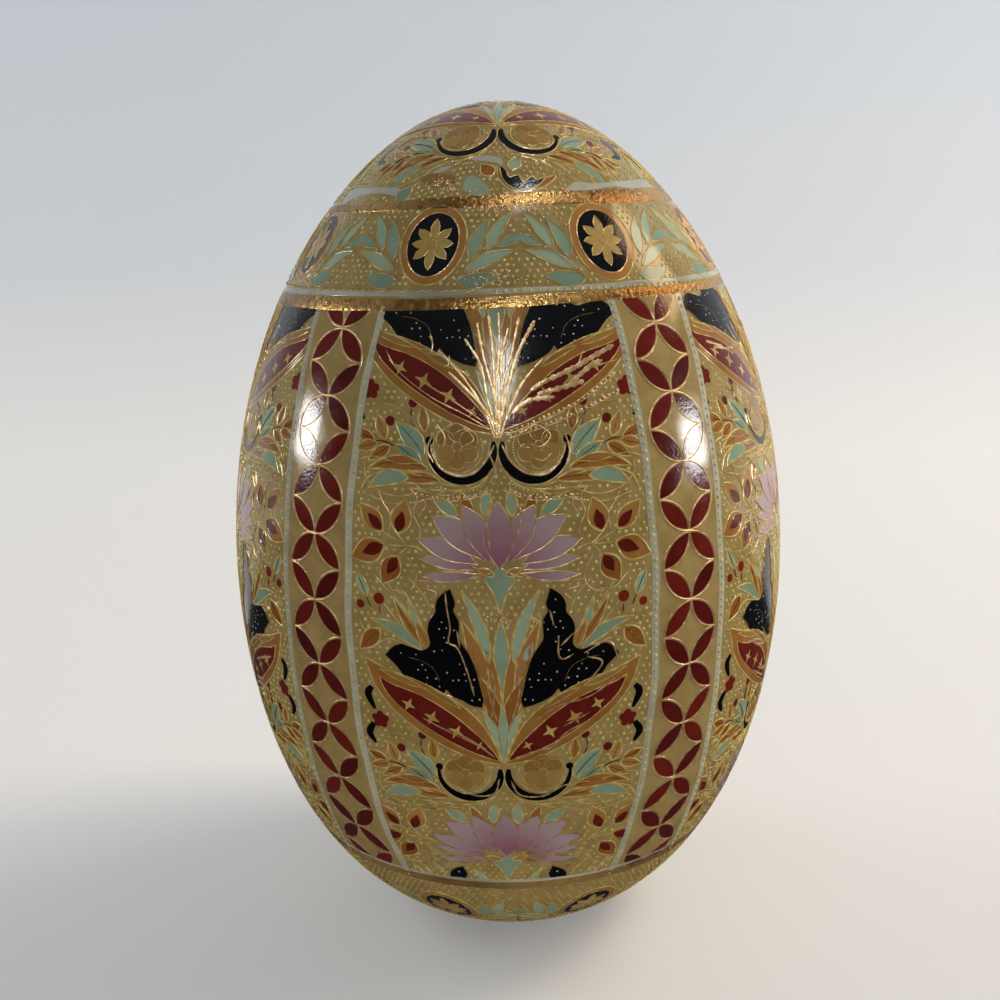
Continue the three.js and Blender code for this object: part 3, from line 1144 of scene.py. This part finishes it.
def mended_places():
    """Bare and patched places beside the top ring at the front, in x and arc length."""
    sheet = Sheet()
    bare = [([(-31, 165), (-30, 168.2), (-24, 168.6), (-17, 168.3), (-14.6, 166.9), (-15.5, 165)], 0.8),
            ([(11.6, 165), (12.4, 168.6), (16, 168.4), (22, 168.8), (30, 169.0), (31, 165)], 0.7),
            ([(-4.4, 174.1), (-1.6, 174.9), (0.6, 174.2), (0.9, 172.6), (-0.3, 173.2), (-2.6, 173.7)], 0.6)]
    for points, tone in bare:
        sheet.fill("white", curve(points, closed=True), rim=None, both=False, tone=tone)
    sheet.fill("teal", leaf((-16.8, 165.4), (-13.8, 168.6), 2.2), both=False)
    frame_of_chip = [(0.2, 172.6), (0.4, 169.6), (2.4, 167.3), (5.4, 166.9), (8.3, 168.6), (9.4, 170.2),
                     (7.6, 169.6), (5.2, 167.9), (2.6, 168.3), (1.5, 170.4)]
    sheet.fill("ochre", curve(frame_of_chip, closed=True), both=False)
    chip = [(0.5, 172.4), (1.4, 171.6), (2.0, 170.0), (3.4, 170.4), (4.2, 168.9), (5.4, 170.0),
            (6.4, 169.3), (7.7, 170.0), (6.6, 168.3), (4.4, 167.3), (2.2, 168.0), (0.9, 169.8)]
    sheet.fill("black", curve(chip, closed=True), both=False)
    sheet.fill("teal", leaf((2.4, 171.4), (3.2, 174.6), 2.0), both=False)
    sheet.fill("ochre", leaf((-0.6, 170.4), (-2.4, 173.0), 2.4), both=False)
    flake = [(-12.5, 169.8), (-9.8, 171.2), (-7.0, 170.6), (-6.6, 169.0), (-9.4, 168.2)]
    sheet.fill("brown", curve(flake, closed=True), rim=None, both=False, tone=0.0)
    sheet.fill("white", leaf((-10.4, 171.2), (-6.6, 173.0), 0.9), rim=None, both=False, tone=0.6)
    sheet.fill("teal", outline([(-5.4, 167.6), (-4.6, 170.0), (-3.2, 170.2), (-1.4, 168.2), (-0.8, 166.4)],
                               [(-0.8, 166.4), (-3.0, 166.2), (-5.4, 167.6)]), rim=None, both=False)
    return sheet


egg_body()
lay(panel_sheet(), *(on_side(360 / PANELS * index) for index in range(PANELS)))
for index in range(PANELS):
    lay(column_sheet(index + 3), on_side(360 / PANELS * (index + 0.5)))
    if index:
        lay(loose_strokes(index + 20), on_side(360 / PANELS * index))
lay(front_strokes(), on_side(0))
for low, high, count, seed in (((-7, 161.5), (10, 168), 240, 31), ((-4, 98.5), (6, 102.5), 90, 32),
                               ((-6, 149.5), (6, 154), 70, 33), ((-12, 167), (-5, 171), 70, 34)):
    lay(gold_grains(low, high, count, seed), on_side(0))
lay(band_sheet(157.6, SHOULDER_RING + 2.0, TOP_RING, 5),
    *(on_side(-16.6 + 360 / MEDALLIONS * index) for index in range(MEDALLIONS)))
lay(band_sheet(36.0, FOOT_RING, LOWER_RING, 6, dots="straw"),
    *(on_side(-20 + 360 / MEDALLIONS * index) for index in range(MEDALLIONS)))
lay(tip_sheet(mended=True), on_tip(0))
lay(tip_sheet(), on_tip(180))
ring(TOP_RING, 2.4, sway=0.9, swell=0.9, seed=4)
ring(SHOULDER_RING, 2.0, sway=0.9, swell=-0.5, seed=5)
ring(SHOULDER_RING + 1.7, 0.95, sway=0.7, seed=8, paint="white", lift=0.06)
beads(SHOULDER_RING + 1.75, 1.3, 0.34)
ring(LOWER_RING, 2.0, seed=6, paint="worn")
ring(LOWER_RING + 1.5, 0.7, seed=7, paint="pale", lift=0.06)
ring(FOOT_RING, 1.8, seed=9, paint="worn")
for piece in PIECES.values():
    piece.build()


# Stage, light and camera

FLOOR_COLOUR = (0.66, 0.64, 0.61)
# The middle and upper colours are painted shade: the paper grows darker and cooler up the background.
MIDDLE_SHADED_COLOUR = (0.555, 0.58, 0.605)
UPPER_SHADED_COLOUR = (0.545, 0.60, 0.665)
SHADE_HEIGHT = 0.30
STAGE_HALF_WIDTH = 2.6
SWEEP_START = 0.42
SWEEP_RADIUS = 0.42
STAGE_FRONT = -2.6
STAGE_TOP = 1.5
FLOOR_END = 0.12
# The paper's glow is painted light, which lifts the shade on the floor and the background.
PAPER_GLOW = 0.19
GLOW_COLOUR = (0.94, 0.97, 1.0, 1)
SWEEP_STEPS = 24


def paper_material():
    """Pale paper, warm on the floor, with painted shade that makes it cooler and darker up the background,
    and a painted glow that lifts its shade.
    """
    material = bpy.data.materials.new("stage_paper")
    material.use_nodes = True
    tree = material.node_tree
    shader = tree.nodes["Principled BSDF"]
    shade = ramp(tree, math_node(tree, "DIVIDE", height_of(tree, "Object"), SHADE_HEIGHT),
                 [(0.0, FLOOR_COLOUR), (0.3, MIDDLE_SHADED_COLOUR), (1.0, UPPER_SHADED_COLOUR)])
    tree.links.new(shade.outputs["Color"], shader.inputs["Base Color"])
    shader.inputs["Roughness"].default_value = 0.8
    shader.inputs["Specular IOR Level"].default_value = 0.1
    shader.inputs["Emission Color"].default_value = GLOW_COLOUR
    shader.inputs["Emission Strength"].default_value = PAPER_GLOW
    return material


def stage():
    """A pale floor that curves up into the background without a line."""
    profile = [(STAGE_FRONT, 0.0), (FLOOR_END, 0.0)]
    for step in range(SWEEP_STEPS + 1):
        angle = math.pi / 2 * step / SWEEP_STEPS
        profile.append((SWEEP_START + SWEEP_RADIUS * math.sin(angle), SWEEP_RADIUS * (1 - math.cos(angle))))
    profile.append((SWEEP_START + SWEEP_RADIUS, STAGE_TOP))
    spots = [(side * STAGE_HALF_WIDTH, y, z) for y, z in profile for side in (-1, 1)]
    faces = [(2 * index, 2 * index + 1, 2 * index + 3, 2 * index + 2) for index in range(len(profile) - 1)]
    material = paper_material()
    for name, part in (("stage_floor", faces[:1]), ("stage_sweep", faces[1:])):
        mesh = bpy.data.meshes.new(name)
        mesh.from_pydata(spots, [], part)
        mesh.polygons.foreach_set("use_smooth", [True] * len(part))
        mesh.materials.append(material)
        paper = bpy.data.objects.new(name, mesh)
        paper.visible_glossy = name == "stage_sweep"
        bpy.context.scene.collection.objects.link(paper)


LIGHT_AIM = Vector((0, 0, 0.085))


def softbox(name, azimuth, elevation, distance, size, energy, tint=(1, 1, 1), only=None):
    """A rectangular light that faces the egg. Azimuth 0 is the viewer's side, and 90 is the right.
    only="shine" makes reflections alone, and only="fill" lights without any."""
    turn, rise = math.radians(azimuth), math.radians(elevation)
    away = Vector((math.cos(rise) * math.sin(turn), -math.cos(rise) * math.cos(turn), math.sin(rise)))
    light = bpy.data.lights.new(name, "AREA")
    light.shape = "RECTANGLE"
    light.size, light.size_y = size
    light.energy = energy
    light.color = tint
    lamp = bpy.data.objects.new(name, light)
    facing = away.to_track_quat("Z", "Y").to_matrix().to_4x4()
    lamp.matrix_world = Matrix.Translation(LIGHT_AIM + away * distance) @ facing
    lamp.visible_diffuse = only != "shine"
    lamp.visible_glossy = only != "fill"
    bpy.context.scene.collection.objects.link(lamp)


HORIZON_LIGHT = (0.035, 0.038, 0.042)
ZENITH_LIGHT = (0.22, 0.235, 0.25)


def world_light():
    world = bpy.data.worlds.new("soft_room")
    bpy.context.scene.world = world
    world.use_nodes = True
    tree = world.node_tree
    background = tree.nodes["Background"]
    sky = ramp(tree, height_of(tree, "Generated"), [(0.0, HORIZON_LIGHT), (1.0, ZENITH_LIGHT)])
    tree.links.new(sky.outputs["Color"], background.inputs["Color"])
    background.inputs["Strength"].default_value = 1.0


CAMERA_PITCH = 13.6976
CAMERA_ROLL = 1.1983
CAMERA_TURN = 1.862
CAMERA_LENS = 42.74
CAMERA_PLACE = (-0.001445, 0.004644, 0.22399)
AIM_HEIGHT = 0.07308


def photo_camera():
    pitch, roll = math.radians(CAMERA_PITCH), math.radians(CAMERA_ROLL)
    tilt = Matrix(((1, 0, 0), (0, math.sin(pitch), math.cos(pitch)), (0, -math.cos(pitch), math.sin(pitch))))
    lean = Matrix(((math.cos(roll), -math.sin(roll), 0), (math.sin(roll), math.cos(roll), 0), (0, 0, 1)))
    facing = (lean @ tilt).transposed()
    eye = facing @ Vector(CAMERA_PLACE) + Vector((0, 0, AIM_HEIGHT))
    turn = Matrix.Rotation(math.radians(CAMERA_TURN), 4, "Z")
    camera = bpy.data.cameras.new("photo_camera")
    camera.sensor_width = 36.0
    camera.lens = CAMERA_LENS
    camera.clip_start = 0.01
    holder = bpy.data.objects.new("photo_camera", camera)
    holder.matrix_world = turn @ (Matrix.Translation(eye) @ facing.to_4x4())
    bpy.context.scene.collection.objects.link(holder)
    bpy.context.scene.camera = holder


stage()
softbox("window_left", -89, 9.0, 1.0, (0.20, 0.15), 2.6, only="shine")
softbox("window_right", 84, 8.0, 1.0, (0.20, 0.15), 2.8, only="shine")
softbox("window_front", 0, 32, 1.0, (0.13, 0.27), 2.7, (0.86, 0.94, 1.0), only="shine")
softbox("window_top", 45, 77, 1.0, (0.16, 0.05), 1.3, only="shine")
softbox("warm_back", 102, 38, 1.0, (0.26, 0.40), 2.4, (1.0, 0.70, 0.42))
softbox("key_right", 110, 46, 1.9, (1.0, 0.76), 16.5, (1, 0.98, 0.94), only="fill")
softbox("edge_left", -112, 28, 1.5, (0.7, 0.7), 5.0, (0.96, 0.98, 1.0), only="fill")
softbox("edge_right", 98, 14, 1.2, (0.5, 0.5), 3.2, only="fill")
softbox("fill_front", -10, 35, 1.0, (0.8, 0.8), 1.2, only="fill")
world_light()
photo_camera()
bpy.context.scene.view_settings.view_transform = "Standard"
